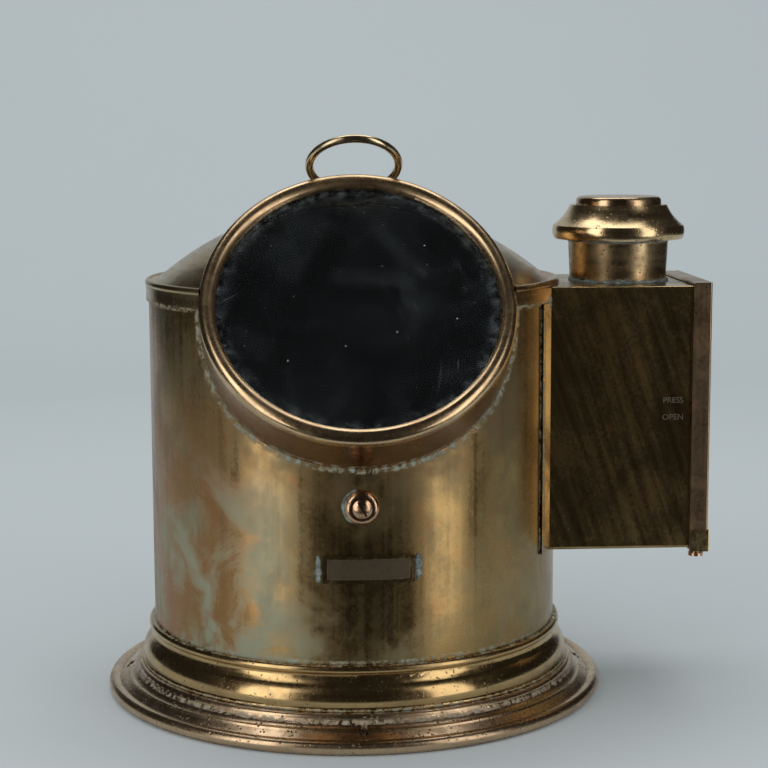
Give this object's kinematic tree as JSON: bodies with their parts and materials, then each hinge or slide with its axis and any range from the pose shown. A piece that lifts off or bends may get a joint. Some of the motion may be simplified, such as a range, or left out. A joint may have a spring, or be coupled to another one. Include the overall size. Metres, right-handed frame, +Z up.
{
  "type": "boat binnacle",
  "caption": "Brass boat binnacle: drum on a moulded base, slanted sighting window, gimballed compass inside and a side oil-lamp box with a chimney.",
  "frame": {"origin": "centre of the round base, on the plane that it stands on", "axes": "+Z up along the drum; the sighting window faces -Y; the lamp box is on +X"},
  "size_m": [0.2449, 0.2034, 0.2255],
  "materials": {
    "aged_brass": "worn, brown and olive patina",
    "cast_brass": "pitted, pinkish bronze",
    "bright_brass": "polished",
    "red_brass": "satin, reddish",
    "dark_brass": "dark patina, scratched",
    "ring_brass": "satin",
    "instrument_brass": "lacquered",
    "lamp_brass": "satin",
    "reflector": "tinned and polished",
    "window_glass": "clear, dusty",
    "putty": "matt",
    "bowl_enamel": "matt black",
    "lead": "dull grey",
    "steel": "bright",
    "card": "printed card",
    "wick_cotton": "woven cotton"
  },
  "bodies": {
    "binnacle": {"base_flange": "cast_brass", "base_skirt": "bright_brass", "drum": "aged_brass", "dome": "bright_brass", "hood_collar": "red_brass", "bezel": "red_brass", "window_seal": "putty", "window_glass": "window_glass", "window_retainer": "ring_brass", "ring_lug": "ring_brass", "number_plate": "dark_brass", "pivot_bosses": "red_brass", "pivot_screws": "red_brass", "pivot_nuts": "red_brass", "lamp_box": "dark_brass", "light_frame": "dark_brass", "light_glass": "window_glass", "chimney_neck": "dark_brass", "chimney_cap": "bright_brass", "cap_button": "bright_brass", "vent_ring": "dark_brass", "oil_font": "lamp_brass", "lamp_guides": "dark_brass", "burner": "lamp_brass", "wick_tube": "lamp_brass", "lamp_reflector": "reflector", "filler_neck": "lamp_brass", "lamp_loop": "lamp_brass", "box_hinge": "dark_brass", "hinge_pin": "dark_brass", "catch_rivets": "dark_brass"},
    "carrying_ring": {"carrying_ring": "ring_brass"},
    "lamp_door": {"door_panel": "red_brass", "door_hinge": "dark_brass", "door_corner_tab": "bright_brass", "door_stud": "red_brass"},
    "door_catch": {"catch_leaf": "ring_brass"},
    "gimbal_ring": {"gimbal_ring": "instrument_brass", "bowl_screws": "instrument_brass"},
    "compass_bowl": {"compass_bowl": "bowl_enamel", "bowl_glass": "window_glass", "bowl_bezel": "instrument_brass", "bowl_weight": "lead", "card_pivot": "steel", "lubber_line": "bowl_enamel"},
    "compass_card": {"compass_card": "card", "card_cap": "instrument_brass", "card_magnets": "steel"},
    "wick_spindle": {"wick_spindle": "lamp_brass", "wick_wheel": "lamp_brass", "wick_knob": "lamp_brass"},
    "wick": {"wick": "wick_cotton"},
    "filler_cap": {"filler_cap": "lamp_brass"}
  },
  "joints": [
    {"name": "ring_swing", "type": "hinge", "parent": "binnacle", "child": "carrying_ring", "pos_m": [0, -0.01029, 0.20292], "axis": [-1, 0, 0], "range_deg": [-8, 145]},
    {"name": "door_swing", "type": "hinge", "parent": "binnacle", "child": "lamp_door", "pos_m": [0.1406, 0.0352, 0.113], "axis": [0, 0, 1], "range_deg": [0, 110]},
    {"name": "catch_press", "type": "slide", "parent": "binnacle", "child": "door_catch", "axis": [0, 1, 0], "range_m": [0, 0.0016], "stiffness_N_per_m": 1500},
    {"name": "gimbal_roll", "type": "hinge", "parent": "binnacle", "child": "gimbal_ring", "pos_m": [0, 0, 0.0894], "axis": [0, 1, 0], "range_deg": [-20, 20]},
    {"name": "bowl_pitch", "type": "hinge", "parent": "gimbal_ring", "child": "compass_bowl", "pos_m": [0, 0, 0.0894], "axis": [1, 0, 0], "range_deg": [-20, 20]},
    {"name": "card_turn", "type": "hinge", "parent": "compass_bowl", "child": "compass_card", "pos_m": [0, 0, 0.0814], "axis": [0, 0, 1], "continuous": true},
    {"name": "spindle_turn", "type": "hinge", "parent": "binnacle", "child": "wick_spindle", "pos_m": [0.109, -0.005, 0.0971], "axis": [1, 0, 0], "range_deg": [-139, 55]},
    {"name": "wick_feed", "type": "slide", "parent": "binnacle", "child": "wick", "axis": [0, 0, 1], "range_m": [-0.0098, 0.0038]},
    {"name": "filler_turn", "type": "hinge", "parent": "binnacle", "child": "filler_cap", "pos_m": [0.096, 0.014, 0.092], "axis": [0, 0, 1], "continuous": true}
  ],
  "couplings": [
    {"joint": "spindle_turn", "follows": "wick_feed", "rad_per_m": 244}
  ]
}
